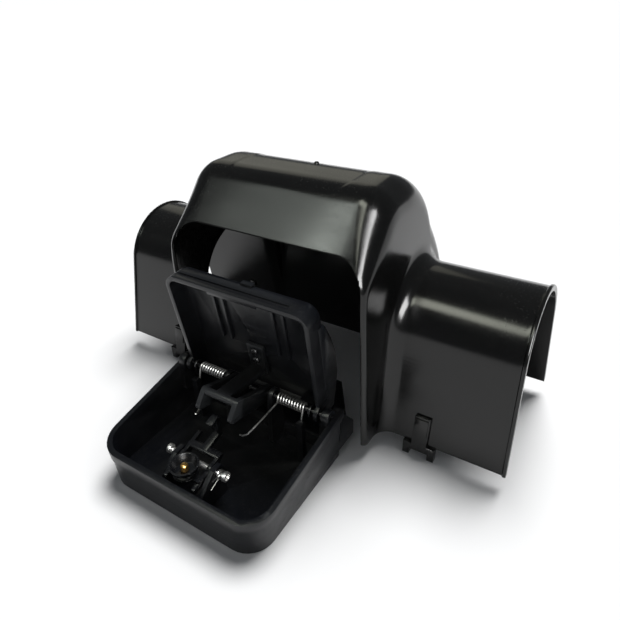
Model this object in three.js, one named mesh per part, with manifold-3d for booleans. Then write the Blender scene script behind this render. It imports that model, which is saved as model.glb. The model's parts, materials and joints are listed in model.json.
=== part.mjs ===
// Rat-size snap trap with its tunnel cover, in millimetres, +Z up.
// The cover is one moulding: a hood between two arched tunnels, open below and in front.
// The trap stands in front of the hood: a tray, a spring-loaded jaw set open, and a trigger with a bait cup.
import * as THREE from "three";
import { ConvexGeometry } from "three/addons/geometries/ConvexGeometry.js";
import { mergeVertices } from "three/addons/utils/BufferGeometryUtils.js";
import Module from "manifold-3d";

const wasm = await Module();
wasm.setup();

// ---------------------------------------------------------------- driving dimensions
const GAP = 0.3; // clearance left between pieces that touch
const WALL = 2.6; // moulded wall thickness

// Tunnel cover. Its own frame has z = 0 at the lower edge, x along the tunnels, and y to the back.
const COVER_LIFT = 10; // height of the lower edge above the ground, on the clip feet
const TUNNEL_HALF_LENGTH = 150;
const COVER_BELOW = -40; // the cover is shaped down to here, then trimmed level
const TUNNEL_BASE_HALF = 49.4;
const TUNNEL_WALL_SLOPE = 0.1945; // the walls lean inwards by this much per mm of height
const TUNNEL_ARCH_R = 38;
const TUNNEL_ARCH_Z = 55.3;
const MOUTH_LEAN = 0.048; // the mouth planes lean inwards by this much per mm of height
const MOUTH_RIM = 2.2; // width of the raised rim around each mouth
const MOUTH_RIM_RISE = 1.1;
const FILLET_R = 10; // hollow fillet where a tunnel meets the hood
const FILLET_STEPS = [0, 0.8, 2, 3.6, 6, 10];
const FILLET_REAR_SHARE = 0.15; // the rear of the tunnels meets the hood almost flush
const HOOD_HALF_WIDTH = 71.8;
const HOOD_DRAFT = 0.00036; // share of the width lost per mm of height
// Circles whose hull is the hood's side profile: y, z, radius, and the rounding of the side edges there.
const HOOD_PROFILE = [
  [-50.9, -40, 18, 3.2],
  [-50.9, 98, 18, 4.5],
  [-50.9, 103, 18, 6],
  [-29, 131, 18, 18],
  [-16, 109, 40, 18],
  [27, 64.5, 25, 18],
  [27, -40, 25, 18],
];
const OPENING_HALF_WIDTH = 68.9;
const OPENING_TOP = 119.5;
const OPENING_CORNER_R = 18;
const OPENING_DEPTH = 45; // how far back the cutter for the front opening reaches
const RECESS_HALF_WIDTH = 40;
const RECESS_Y = [-40, 14];
const RECESS_CORNER_R = 10;
const RECESS_DEPTH = 1.2;
const NUB_R = 1.6; // moulding nub in the middle of the top
const NUB_TOP = 149.4;
const NUB_X = 5;
const NUB_Y = -9;
const SKIRT_HALF_WIDTH = 62; // the hood's rear wall runs further down than the tunnels, over this width
const SKIRT_DROP = 9.5;

// Clip feet on the tunnels' long edges.
const FOOT_X = 98.5;
const FOOT_HALF_WIDTH = 10;
const FOOT_BAR = 5; // height of the bar under the edge
const FOOT_DEPTH = 4.2;
const PRONG_WIDTH = 4.2;
const TAB_HALF_WIDTH = 4.8;
const TAB_TOP = 19;
const TAB_THICKNESS = 1.8;
const PEG = 5; // side of the square peg that goes through the wall
const PEG_Z = 12.5;

// Trap. Its own frame has z = 0 on the ground and y = 0 at the hinge, with the tray towards -Y.
const TRAP_Y = -84.1; // the hinge in the cover's frame
const HINGE_Z = 38.9;
const TRAY_FRONT = 75.3;
const TRAY_REAR = 9;
const TRAY_BASE_HALF = 56.4;
const TRAY_RIM_HALF = 59.5;
const TRAY_CORNER_R = 16;
const RIM_AT_HINGE = 37.8;
const RIM_SLOPE = 0.176; // the rim falls towards the front
const TRAY_REAR_WALL_Z = 12;
const SLOT_Y = 7.4;
const SLOT_Z = [14, 30];
const SLOT_WIDTH = 1.3;
const LIP_RISE = 0.7; // the band under the rim stands out by this much
const LIP_HEIGHT = 6;

// Squeeze handle behind the tray, raised off the ground.
const HANDLE_Z = 9;
const HANDLE_REAR = 60;
const HANDLE_MIDDLE_HALF = 45;
const HANDLE_TIP_HALF = 30;
const CHEEK_TOP = 36; // the handle's side plates taper from this height
const CHEEK_REAR = 27;
const CHEEK_BOTTOM = 5;

// Hinge, springs and the ears that carry them.
const PIN_R = 1.6;
const BORE_R = PIN_R + GAP;
const EAR_R = 5;
const INNER_EAR = [15.4, 18.4]; // from and to, on both sides of the middle
const OUTER_EAR = [52.4, 57];
const HINGE_PIN_HALF = 56.4;
const CLIP_X = [43.2, 44.6];
const CLIP_R = 3.9;
const SPRING_X = [20.2, 39.8];
const SPRING_WIRE = 1.6;
const SPRING_MEAN_R = 2.85;
const SPRING_TURNS = 7.7;

// Jaw, in a frame on the hinge with the jaw pointing to -Y and its hollow side down.
const JAW_OPEN_DEG = 82.3; // how far the set jaw stands up from level
const JAW_LENGTH = 71.2;
const JAW_TAIL = 12;
const JAW_HALF = 50;
const JAW_DEPTH = 15;
const JAW_CORNER_R = 9;
const JAW_EDGE_R = 4;
// The raised back of the jaw in its own frame: y and height of its side outline.
const JAW_HUMP = [
  [-57, 9],
  [-57, 14],
  [-54, 15.6],
  [-41, 21.8],
  [-28, 25],
  [-12, 25],
  [0, 21],
  [7, 15],
  [7, 9],
];
const JAW_HUMP_HALF = 49.6;
const JAW_RIB_X = [-25, -18, 18, 25];
const JAW_RIB = 1.6;
const HEEL_HALF = 28;

// Latch fork, in the jaw's frame, and the screws that hold it.
const FORK_LEG = [10.3, 13.4];
const FORK_BAR = [-15.4, -25.2, 2.4]; // y, z, radius
const FORK_TIP = [-9.3, -32.2, 2.2];
const FORK_ARM_HALF = 5;
const FORK_FLANGE_Y = [-26, -4];
const FORK_SCREW_Y = [-21.5, -14.5];
const SCREW_R = 1.1;
const SCREW_HEAD_R = 2.3;

// Trigger, bait cup and their pin.
const TRIGGER_Y = -53;
const TRIGGER_Z = 22;
const TRIGGER_PIN_HALF = 21;
const BRACKET_X = [12.3, 15.3];
const BRACKET_Y = [-70, -48];
const ARM_X = [9.3, 11.5];
const HUB_R = 3.4;
const FINGER_X = [-2.2, 2.2];
const FINGER_Y = -34.1; // just outside the circle that the fork's bar follows
const CUP_Y = -62.4;
const CUP_R = 8.6;
const CUP_FLOOR = 24.8;
const CUP_RIM = 29.7;
const CUP_WALL = 1.1;
const CUP_SKIN = 1.2; // thickness of the cup's floor
const SEAT_THICKNESS = 1.6;
const RIVET_TOP = 29.6; // the rivet's head stands up inside the cup
const CAP_X = [19.6, 21.8];
const CAP_R = 2.9;

// ---------------------------------------------------------------- materials
const plastic = (color, roughness) => new THREE.MeshStandardMaterial({ color, roughness, metalness: 0 });
const metal = (color, roughness) => new THREE.MeshStandardMaterial({ color, roughness, metalness: 1 });
const COVER_BLACK = plastic(0x0b0b0a, 0.22);
const TRAP_BLACK = plastic(0x101216, 0.38);
const TRIGGER_BLACK = plastic(0x15171b, 0.35);
const FORK_GREY = plastic(0x2c3036, 0.4);
const STEEL = metal(0xc9ccd0, 0.22);
const BLACK_STEEL = metal(0x1c1d20, 0.4);
const BRASS = metal(0xb07a35, 0.35);

// ---------------------------------------------------------------- solids
const V = (x, y, z) => new THREE.Vector3(x, y, z);

// A closed geometry as a manifold solid.
function solidOf(geometry) {
  const bare = geometry.index ? geometry.toNonIndexed() : geometry.clone();
  bare.deleteAttribute("normal");
  bare.deleteAttribute("uv");
  const merged = mergeVertices(bare, 1e-4);
  return new wasm.Manifold(
    new wasm.Mesh({
      numProp: 3,
      vertProperties: new Float32Array(merged.attributes.position.array),
      triVerts: new Uint32Array(merged.index.array),
    }),
  );
}

const join = (solids) => solids.reduce((a, b) => a.add(b));
const cut = (solid, tools) => tools.reduce((a, b) => a.subtract(b), solid);
const hull = (points) => solidOf(new ConvexGeometry(points));

function meshOf(name, solid, material) {
  const made = solid.getMesh();
  const geometry = new THREE.BufferGeometry();
  geometry.setAttribute("position", new THREE.BufferAttribute(new Float32Array(made.vertProperties), 3));
  geometry.setIndex(new THREE.BufferAttribute(new Uint32Array(made.triVerts), 1));
  geometry.computeVertexNormals();
  const mesh = new THREE.Mesh(geometry, material);
  mesh.name = name;
  return mesh;
}

// A box between two corners.
function box([x0, x1], [y0, y1], [z0, z1]) {
  const geometry = new THREE.BoxGeometry(x1 - x0, y1 - y0, z1 - z0);
  geometry.translate((x0 + x1) / 2, (y0 + y1) / 2, (z0 + z1) / 2);
  return solidOf(geometry);
}

// A cylinder along X.
function rodX(radius, [x0, x1], y, z, sides = 20) {
  const geometry = new THREE.CylinderGeometry(radius, radius, x1 - x0, sides);
  geometry.rotateZ(Math.PI / 2);
  geometry.translate((x0 + x1) / 2, y, z);
  return solidOf(geometry);
}

// A cylinder along Z.
function rodZ(radius, [z0, z1], x, y, sides = 16) {
  const geometry = new THREE.CylinderGeometry(radius, radius, z1 - z0, sides);
  geometry.rotateX(Math.PI / 2);
  geometry.translate(x, y, (z0 + z1) / 2);
  return solidOf(geometry);
}

// A turned piece about Z: the profile is radius, height pairs from the axis round and back to it.
function turned(profile, x, y, sides = 28) {
  const geometry = new THREE.LatheGeometry(profile.map(([r, z]) => new THREE.Vector2(r, z)), sides);
  geometry.rotateX(Math.PI / 2);
  geometry.translate(x, y, 0);
  return solidOf(geometry);
}

// An outline in the Y-Z plane pushed along X.
function slabX(outline, [x0, x1]) {
  const shape = new THREE.Shape(outline.map(([y, z]) => new THREE.Vector2(y, z)));
  const geometry = new THREE.ExtrudeGeometry(shape, { depth: x1 - x0, bevelEnabled: false });
  geometry.applyMatrix4(new THREE.Matrix4().makeBasis(V(0, 1, 0), V(0, 0, 1), V(1, 0, 0)));
  geometry.translate(x0, 0, 0);
  return solidOf(geometry);
}

// Points round a circle in the Y-Z plane at one x.
function ringX(x, [y, z, radius], count = 16) {
  return Array.from({ length: count }, (_, i) => {
    const a = (i / count) * 2 * Math.PI;
    return V(x, y + radius * Math.cos(a), z + radius * Math.sin(a));
  });
}

// The hull of some circles in the Y-Z plane, pushed along X.
const linkX = (circles, [x0, x1]) => hull(circles.flatMap((c) => [...ringX(x0, c), ...ringX(x1, c)]));

// The same solid on both sides of the middle plane.
const bothSides = (make) => [-1, 1].map((side) => make(side));
const spanOn = (side, [near, far]) => (side > 0 ? [near, far] : [-far, -near]);

// A rounded rectangle's outline in plan, with its rear corners square if rearR is 0.
function planOutline(half, front, rear, frontR, rearR, z, steps = 6) {
  const points = [];
  const corner = (cx, cy, r, from) => {
    const count = r > 0 ? steps : 0;
    for (let i = 0; i <= count; i++) {
      const a = from + (count ? (i / count) * (Math.PI / 2) : 0);
      points.push(V(cx + r * Math.cos(a), cy + r * Math.sin(a), z));
    }
  };
  corner(half - rearR, rear - rearR, rearR, 0);
  corner(-half + rearR, rear - rearR, rearR, Math.PI / 2);
  corner(-half + frontR, front + frontR, frontR, Math.PI);
  corner(half - frontR, front + frontR, frontR, 1.5 * Math.PI);
  return points;
}

// ---------------------------------------------------------------- tunnel cover
// The hood's hull, shrunk by inset: each profile circle becomes a ring that rounds the side edges.
function hoodHull(inset) {
  const points = [];
  for (const [y, z, radius, rounding] of HOOD_PROFILE) {
    const edge = Math.max(rounding - inset, 0.5);
    const flat = HOOD_HALF_WIDTH - inset - edge;
    for (let k = 0; k <= 4; k++) {
      const tilt = (k / 4) * (Math.PI / 2);
      const ring = [y, z, radius - inset - edge + edge * Math.cos(tilt)];
      const x = flat + edge * Math.sin(tilt);
      points.push(...ringX(x, ring, 24), ...ringX(-x, ring, 24));
    }
  }
  return hull(points.map((p) => V(p.x * (1 - HOOD_DRAFT * p.z), p.y, p.z)));
}

// The tunnel's section at one x, grown by offset; its rear grows less, to stay inside the hood's rear.
function tunnelRing(x, offset, base) {
  const radius = TUNNEL_ARCH_R + offset;
  const rearOffset = offset > 0 ? offset * FILLET_REAR_SHARE : offset;
  const rearScale = (TUNNEL_ARCH_R + rearOffset) / radius;
  const half = TUNNEL_BASE_HALF - base * TUNNEL_WALL_SLOPE;
  const arch = ringX(x, [0, TUNNEL_ARCH_Z, radius], 36).filter((p) => p.z > TUNNEL_ARCH_Z - 12);
  const skewed = arch.map((p) => V(p.x, p.y > 0 ? p.y * rearScale : p.y, p.z));
  return [...skewed, V(x, -half - offset, base), V(x, half + rearOffset, base)];
}

// Tunnel and fillet on one side, thinned by inset, from inside the hood to past the mouth.
function tunnelSide(side, inset, base, end) {
  const root = HOOD_HALF_WIDTH - 2;
  const stations = FILLET_STEPS.map((d) => {
    const bulge = FILLET_R - Math.sqrt(FILLET_R ** 2 - (FILLET_R - d) ** 2);
    return [root + d, bulge];
  });
  const pieces = [];
  for (let i = 0; i + 1 < stations.length; i++) {
    const [[xa, oa], [xb, ob]] = [stations[i], stations[i + 1]];
    pieces.push(hull([...tunnelRing(side * xa, oa - inset, base), ...tunnelRing(side * xb, ob - inset, base)]));
  }
  const inner = HOOD_HALF_WIDTH - 12;
  const [firstX, firstOffset] = stations[0];
  pieces.push(
    hull([
      ...tunnelRing(side * inner, firstOffset - inset - 4, base),
      ...tunnelRing(side * firstX, firstOffset - inset, base),
    ]),
  );
  const [lastX] = stations[stations.length - 1];
  pieces.push(hull([...tunnelRing(side * lastX, -inset, base), ...tunnelRing(side * end, -inset, base)]));
  return join(pieces);
}

// The raised rim that follows a mouth.
function mouthRim(side) {
  const near = TUNNEL_HALF_LENGTH - 10;
  const rim = hull([
    ...tunnelRing(side * near, MOUTH_RIM_RISE, COVER_BELOW),
    ...tunnelRing(side * (TUNNEL_HALF_LENGTH + 5), MOUTH_RIM_RISE, COVER_BELOW),
  ]);
  return rim.intersect(mouthWedge(side, -MOUTH_RIM, 20));
}

// The space beyond a mouth's leaning plane, from one distance past it to another.
function mouthWedge(side, from, to) {
  const top = 200;
  const lean = MOUTH_LEAN * top;
  const corners = [];
  for (const y of [-90, 90]) {
    for (const [x, z] of [
      [TUNNEL_HALF_LENGTH + from, 0],
      [TUNNEL_HALF_LENGTH + to, 0],
      [TUNNEL_HALF_LENGTH + to - lean, top],
      [TUNNEL_HALF_LENGTH + from - lean, top],
    ]) {
      corners.push(V(side * (x + (z === 0 ? MOUTH_LEAN * 60 : 0)), y, z === 0 ? -60 : z));
    }
  }
  return hull(corners);
}

// The front opening: full width between the side walls, with round upper corners.
function frontOpening() {
  const points = [];
  for (const y of [-90, -68.9 + OPENING_DEPTH]) {
    points.push(V(-OPENING_HALF_WIDTH, y, -20), V(OPENING_HALF_WIDTH, y, -20));
    for (let i = 0; i <= 8; i++) {
      const a = (i / 8) * (Math.PI / 2);
      const x = OPENING_HALF_WIDTH * (1 - HOOD_DRAFT * 100) - OPENING_CORNER_R * (1 - Math.cos(a));
      const z = OPENING_TOP - OPENING_CORNER_R * (1 - Math.sin(a));
      points.push(V(x, y, z), V(-x, y, z));
    }
  }
  return hull(points);
}

// The shallow panel sunk into the top.
function topRecess() {
  const [front, rear] = RECESS_Y;
  const outline = (z) => planOutline(RECESS_HALF_WIDTH, front, rear, RECESS_CORNER_R, RECESS_CORNER_R, z);
  const prism = hull([...outline(125), ...outline(170)]);
  return prism.subtract(hoodHull(RECESS_DEPTH));
}

// The square holes in the tunnel walls that take the feet's pegs.
function pegHoles() {
  const half = PEG / 2 + GAP;
  return bothSides((side) => bothSides((rear) => {
    const x = side * FOOT_X;
    return box([x - half, x + half], spanOn(rear, [35, 60]), [PEG_Z - half, PEG_Z + half]);
  })).flat();
}

function tunnelCover() {
  const outer = join([hoodHull(0), ...bothSides((s) => tunnelSide(s, 0, COVER_BELOW, TUNNEL_HALF_LENGTH + 5))]);
  const inner = join([
    hoodHull(WALL),
    ...bothSides((s) => tunnelSide(s, WALL, COVER_BELOW - 1, TUNNEL_HALF_LENGTH + 12)),
    join(bothSides((s) => box(spanOn(s, [20, HOOD_HALF_WIDTH - 6]), [-30, 30], [-20, 50]))),
  ]);
  const nub = rodZ(NUB_R, [NUB_TOP - 3, NUB_TOP], NUB_X, NUB_Y, 12);
  const skin = join([outer, ...bothSides(mouthRim)]);
  const skirt = box([-SKIRT_HALF_WIDTH, SKIRT_HALF_WIDTH], [30, 120], [-SKIRT_DROP, 0]);
  const under = box([-200, 200], [-120, 120], [-120, 0]).subtract(skirt);
  const trimmed = cut(skin, [inner, frontOpening(), topRecess(), ...bothSides((s) => mouthWedge(s, 0, 40)), under]);
  return cut(trimmed.add(nub), pegHoles());
}

// ---------------------------------------------------------------- clip feet
// One foot, for the wall at -Y: a bar with two prongs under the edge, and a tab with a peg up the wall.
function clipFoot() {
  const front = -TUNNEL_BASE_HALF - GAP - TAB_THICKNESS;
  const barY = [front, front + FOOT_DEPTH];
  const bar = box([-FOOT_HALF_WIDTH, FOOT_HALF_WIDTH], barY, [-GAP - FOOT_BAR, -GAP]);
  const prongs = bothSides((side) =>
    box(spanOn(side, [FOOT_HALF_WIDTH - PRONG_WIDTH, FOOT_HALF_WIDTH]), barY, [-COVER_LIFT, -GAP - FOOT_BAR + 1]),
  );
  const slide = (y, z) => [y + z * TUNNEL_WALL_SLOPE, z];
  const outerY = front;
  const innerY = front + TAB_THICKNESS - 0.1;
  const tab = slabX(
    [slide(outerY, -GAP - 2), slide(innerY, -GAP - 2), slide(innerY, TAB_TOP), slide(outerY, TAB_TOP)],
    [-TAB_HALF_WIDTH, TAB_HALF_WIDTH],
  );
  const boss = slabX(
    [slide(outerY - 1, 7), slide(outerY + 1, 7), slide(outerY + 1, TAB_TOP - 1), slide(outerY - 1, TAB_TOP - 1)],
    [-TAB_HALF_WIDTH + 0.8, TAB_HALF_WIDTH - 0.8],
  );
  const [pegY] = slide(innerY, PEG_Z);
  const peg = box([-PEG / 2, PEG / 2], [pegY - 1, pegY + WALL + 1.6], [PEG_Z - PEG / 2, PEG_Z + PEG / 2]);
  return join([bar, ...prongs, tab, boss, peg]);
}

// ---------------------------------------------------------------- tray
const rimZ = (y) => RIM_AT_HINGE + RIM_SLOPE * y;
const halfAt = (z) => TRAY_BASE_HALF + ((TRAY_RIM_HALF - TRAY_BASE_HALF) * z) / RIM_AT_HINGE;

// The tray's block, thinned by inset, from one height to another.
function trayBlock(inset, z0, z1) {
  const outline = (z) =>
    planOutline(halfAt(z) - inset, -TRAY_FRONT + inset, TRAY_REAR - inset, TRAY_CORNER_R - inset, 0, z, 8);
  return hull([...outline(z0), ...outline(z1)]);
}

// All that lies above the sloping rim, raised by rise.
function aboveRim(rise, front = -100, rear = 30) {
  return slabX(
    [
      [front, rimZ(front) + rise],
      [rear, rimZ(rear) + rise],
      [rear, 90],
      [front, 90],
    ],
    [-90, 90],
  );
}

function ear([near, far], base) {
  const post = linkX([[0, HINGE_Z, EAR_R], [0, base, 7]], [near, far]);
  return post.subtract(rodX(BORE_R, [near - 1, far + 1], 0, HINGE_Z));
}

// A bracket for the trigger pin: a long rib from the floor with a raised boss at its rear.
function triggerBracket(side) {
  const [front, rear] = BRACKET_Y;
  const rib = slabX(
    [
      [front, 1],
      [rear, 1],
      [rear, TRIGGER_Z],
      [TRIGGER_Y + 3.4, TRIGGER_Z + 3.6],
      [TRIGGER_Y - 3.4, TRIGGER_Z + 3.6],
      [front + 4, TRIGGER_Z - 5],
      [front, TRIGGER_Z - 9],
    ],
    spanOn(side, BRACKET_X),
  );
  return rib;
}

// The raised handle behind the tray, with two side plates that taper to the rear.
function squeezeHandle() {
  const z0 = HANDLE_Z;
  const z1 = HANDLE_Z + WALL;
  const half = halfAt(HANDLE_Z) - 0.2;
  const start = TRAY_REAR - 2;
  const plate = hull(
    [z0, z1].flatMap((z) => [
      V(-half, start, z),
      V(half, start, z),
      V(half, 20, z),
      V(-half, 20, z),
      V(HANDLE_MIDDLE_HALF, 32, z),
      V(-HANDLE_MIDDLE_HALF, 32, z),
      V(HANDLE_TIP_HALF, HANDLE_REAR, z),
      V(-HANDLE_TIP_HALF, HANDLE_REAR, z),
    ]),
  );
  const cheeks = bothSides((side) =>
    slabX(
      [
        [start, CHEEK_BOTTOM],
        [CHEEK_REAR, CHEEK_BOTTOM],
        [CHEEK_REAR, 15.5],
        [24, 19.5],
        [TRAY_REAR + 1, CHEEK_TOP],
        [start, CHEEK_TOP],
      ],
      spanOn(side, [half - WALL, half]),
    ),
  );
  return join([plate.subtract(box([-24, 24], [30, 50], [0, 30])), ...cheeks]);
}

function trapBase() {
  const shell = cut(trayBlock(0, 0, 50), [trayBlock(WALL, WALL, 55), aboveRim(0)]);
  const band = cut(trayBlock(-LIP_RISE, 8, 50), [trayBlock(1, 0, 55), aboveRim(0), belowBand()]);
  const gateHalf = halfAt(0) - WALL;
  const rearGate = box([-gateHalf, gateHalf], [0, 20], [TRAY_REAR_WALL_Z, 60]);
  const ears = bothSides((s) => [
    ear(spanOn(s, INNER_EAR), 8.5),
    ear(spanOn(s, OUTER_EAR), 22),
    spanOn(s, [38.4, 42.6]),
  ]).flatMap(([inner, outer, stop]) => [inner, outer, box(stop, [-9.4, -5.9], [1, 34])]);
  const walls = cut(join([shell, band]), [rearGate]);
  const body = join([walls, ...ears, ...bothSides(triggerBracket), squeezeHandle()]);
  const slots = bothSides((s) => box(spanOn(s, [50, 70]), [SLOT_Y, SLOT_Y + SLOT_WIDTH], SLOT_Z));
  const pinHole = rodX(BORE_R, [-30, 30], TRIGGER_Y, TRIGGER_Z);
  const hingeBore = rodX(BORE_R, [-HINGE_PIN_HALF - 0.4, HINGE_PIN_HALF + 0.4], 0, HINGE_Z);
  return cut(body, [...slots, pinHole, hingeBore]);
}

// Everything under the band that follows the rim.
function belowBand() {
  return slabX(
    [
      [-100, -20],
      [40, -20],
      [40, rimZ(40) - LIP_HEIGHT],
      [-100, rimZ(-100) - LIP_HEIGHT],
    ],
    [-90, 90],
  );
}

// ---------------------------------------------------------------- jaw and latch fork
const openAngle = THREE.MathUtils.degToRad(JAW_OPEN_DEG);

// A point given in the trap's frame with the jaw open, as it is in the jaw's own frame.
function inJaw(y, z) {
  const dz = z - HINGE_Z;
  return [
    y * Math.cos(openAngle) - dz * Math.sin(openAngle),
    y * Math.sin(openAngle) + dz * Math.cos(openAngle),
  ];
}

// The jaw's block: a rounded plate with its flat rim at z = 0.
function jawBlock(inset, bottom, top) {
  const outline = (shrink, z) =>
    planOutline(JAW_HALF - shrink, -JAW_LENGTH + shrink, JAW_TAIL, JAW_CORNER_R - Math.min(shrink, 5), 0, z, 6);
  return hull([
    ...outline(inset, bottom),
    ...outline(inset + 0.6, top - JAW_EDGE_R),
    ...outline(inset + 1.8, top - 1.2),
    ...outline(inset + JAW_EDGE_R, top),
  ]);
}

// The raised back, hollow and open at the hinge end.
function jawHump() {
  const taper = (inset, z) => JAW_HUMP_HALF - inset - (z > JAW_DEPTH + 1 ? 1.6 : 0);
  const ends = (inset, y, z) => [V(taper(inset, z), y, z), V(-taper(inset, z), y, z)];
  const outer = hull(JAW_HUMP.flatMap(([y, z]) => ends(0, y, z)));
  const inner = JAW_HUMP.slice(2, -1).flatMap(([y, z]) => {
    const inside = z > JAW_DEPTH ? Math.max(z - WALL, JAW_DEPTH) : z;
    return ends(WALL, y + (y < -50 ? WALL : 0), inside);
  });
  const way = [12, 20].flatMap((y) => [...ends(WALL, y, JAW_DEPTH), ...ends(WALL, y, JAW_DEPTH + 3)]);
  return { outer, hollow: hull([...inner, ...way]) };
}

// The squeeze heel that runs back and down from the open jaw's lower end.
function jawHeel() {
  const outline = [
    inJaw(10.4, 32),
    inJaw(13.6, 32),
    inJaw(18.6, 25.2),
    inJaw(47, 17.4),
    inJaw(47, 14.8),
    inJaw(17, 22.4),
    inJaw(11.4, 27.5),
  ];
  return slabX(outline, [-HEEL_HALF, HEEL_HALF]);
}

function jaw() {
  const hollow = jawBlock(WALL, -10, JAW_DEPTH - WALL).add(
    box([-JAW_HALF + WALL, JAW_HALF - WALL], [0, 40], [-20, JAW_DEPTH - WALL]),
  );
  const ribs = JAW_RIB_X.map((x) => box([x - JAW_RIB / 2, x + JAW_RIB / 2], [-62, -24], [10.4, JAW_DEPTH - 1]));
  const lip = box([-17, 17], [-JAW_LENGTH + 1, -JAW_LENGTH + WALL + 1.8], [0, 4]);
  const eyes = bothSides((s) => linkX([[0, 0, EAR_R], [0, 6, EAR_R]], spanOn(s, [JAW_HALF - WALL, JAW_HALF])));
  const hump = jawHump();
  const plate = cut(jawBlock(0, 0, JAW_DEPTH).add(hump.outer), [hollow, hump.hollow]);
  const body = join([plate, ...ribs, lip, ...eyes, jawHeel()]);
  const screwHoles = FORK_SCREW_Y.map((y) => rodZ(SCREW_R + GAP, [5, 20], 0, y));
  return cut(body, [rodX(BORE_R, [-60, 60], 0, 0), ...screwHoles]);
}

function latchFork() {
  const top = JAW_DEPTH - WALL - GAP;
  const legs = bothSides((s) => linkX([[0, 0, EAR_R], FORK_BAR, FORK_TIP], spanOn(s, FORK_LEG)));
  const bar = linkX([FORK_BAR], [-FORK_LEG[1], FORK_LEG[1]]);
  const [barY, barZ] = FORK_BAR;
  const arm = linkX([[barY + 0.6, barZ, 1.9], [-7, top - 1.9, 1.8]], [-FORK_ARM_HALF, FORK_ARM_HALF]);
  const flange = box([-FORK_ARM_HALF - 1, FORK_ARM_HALF + 1], FORK_FLANGE_Y, [top - 2.4, top]);
  const body = join([...legs, bar, arm, flange]);
  const screwHoles = FORK_SCREW_Y.map((y) => rodZ(SCREW_R + GAP, [0, 20], 0, y));
  return cut(body, [rodX(BORE_R, [-20, 20], 0, 0), ...screwHoles]);
}

// A pan-head screw along Z with its head below the flange.
function forkScrew(y) {
  const under = JAW_DEPTH - WALL - GAP - 2.4 - GAP;
  const profile = [
    [0, under - 1.6],
    [SCREW_HEAD_R - 0.7, under - 1.6],
    [SCREW_HEAD_R, under - 0.9],
    [SCREW_HEAD_R, under],
    [SCREW_R, under],
    [SCREW_R, JAW_DEPTH - 0.3],
    [0, JAW_DEPTH - 0.3],
  ];
  return turned(profile, 0, y, 14);
}

// ---------------------------------------------------------------- springs, pins and clips
class SpringPath extends THREE.Curve {
  // A coil about X from the inner end to the outer end; both ends run on as short straight legs.
  constructor(side) {
    super();
    this.side = side;
    this.coil = SPRING_TURNS * 2 * Math.PI * SPRING_MEAN_R;
    this.innerLeg = 30;
    this.outerLeg = 7.5;
    this.total = this.coil + this.innerLeg + this.outerLeg;
  }

  getPoint(t, target = V(0, 0, 0)) {
    const s = t * this.total;
    const turn = THREE.MathUtils.clamp(s - this.innerLeg, 0, this.coil) / SPRING_MEAN_R;
    const share = (turn * SPRING_MEAN_R) / this.coil;
    const x = THREE.MathUtils.lerp(SPRING_X[0], SPRING_X[1], share);
    // The wire leaves the coil's underside towards the front, and winds up over the back.
    const a = turn - Math.PI / 2;
    const before = Math.max(this.innerLeg - s, 0);
    const after = Math.max(s - this.innerLeg - this.coil, 0);
    const y = SPRING_MEAN_R * Math.cos(a) - before - after * Math.sin(a);
    const z = SPRING_MEAN_R * Math.sin(a) + after * Math.cos(a);
    return target.set(this.side * x, y, HINGE_Z + z - before * 0.06);
  }
}

function torsionSpring(side) {
  const shape = new THREE.Shape();
  const wire = SPRING_WIRE / 2;
  for (let i = 0; i < 6; i++) {
    const a = (i / 6) * 2 * Math.PI;
    const [x, y] = [wire * Math.cos(a), wire * Math.sin(a)];
    if (i) shape.lineTo(x, y);
    else shape.moveTo(x, y);
  }
  const path = new SpringPath(side);
  return new THREE.ExtrudeGeometry(shape, { steps: 112, bevelEnabled: false, extrudePath: path });
}

// A spring clip or push-on cap: a washer about X.
function washerX(radius, bore, [x0, x1], y, z) {
  return rodX(radius, [x0, x1], y, z, 18).subtract(rodX(bore, [x0 - 1, x1 + 1], y, z, 18));
}

// ---------------------------------------------------------------- trigger
const SEAT_HIGH = CUP_FLOOR - CUP_SKIN - GAP;
const SEAT_Z = [SEAT_HIGH - SEAT_THICKNESS, SEAT_HIGH];

function triggerLever() {
  const hubs = bothSides((s) => linkX([[TRIGGER_Y, TRIGGER_Z, HUB_R]], spanOn(s, ARM_X)));
  const frontArms = bothSides((s) =>
    linkX([[TRIGGER_Y, TRIGGER_Z - 0.6, 2.6], [-67.6, TRIGGER_Z - 2.4, 1.7]], spanOn(s, ARM_X)),
  );
  const rearArms = bothSides((s) =>
    linkX([[TRIGGER_Y, TRIGGER_Z, 2.6], [s < 0 ? -38.6 : -46, s < 0 ? 27 : 25, 1.5]], spanOn(s, ARM_X)),
  );
  const bridge = linkX([[-47, 25.2, 1.5], [-44.4, 25.6, 1.3]], [-ARM_X[1], ARM_X[1]]);
  const [seatLow, seatHigh] = SEAT_Z;
  const seat = turned([[0, seatLow], [7.2, seatLow], [7.2, seatHigh], [0, seatHigh]], 0, CUP_Y, 24);
  const seatBar = box([-ARM_X[1], ARM_X[1]], [CUP_Y - 2.2, CUP_Y + 2.2], SEAT_Z);
  const reach = linkX([[-46.4, 25.4, 1.5], [FINGER_Y, 28.4, 1.5]], FINGER_X);
  const finger = linkX([[FINGER_Y, 28.4, 1.4], [FINGER_Y, 40.2, 1.4]], FINGER_X);
  const hook = linkX([[FINGER_Y, 40.4, 1.5], [FINGER_Y - 5, 39.6, 0.9]], FINGER_X);
  const body = join([...hubs, ...frontArms, ...rearArms, bridge, seat, seatBar, reach, finger, hook]);
  const pinHole = rodX(BORE_R, [-20, 20], TRIGGER_Y, TRIGGER_Z);
  return cut(body, [pinHole, rodZ(SCREW_R + GAP, [10, 30], 0, CUP_Y)]);
}

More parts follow.
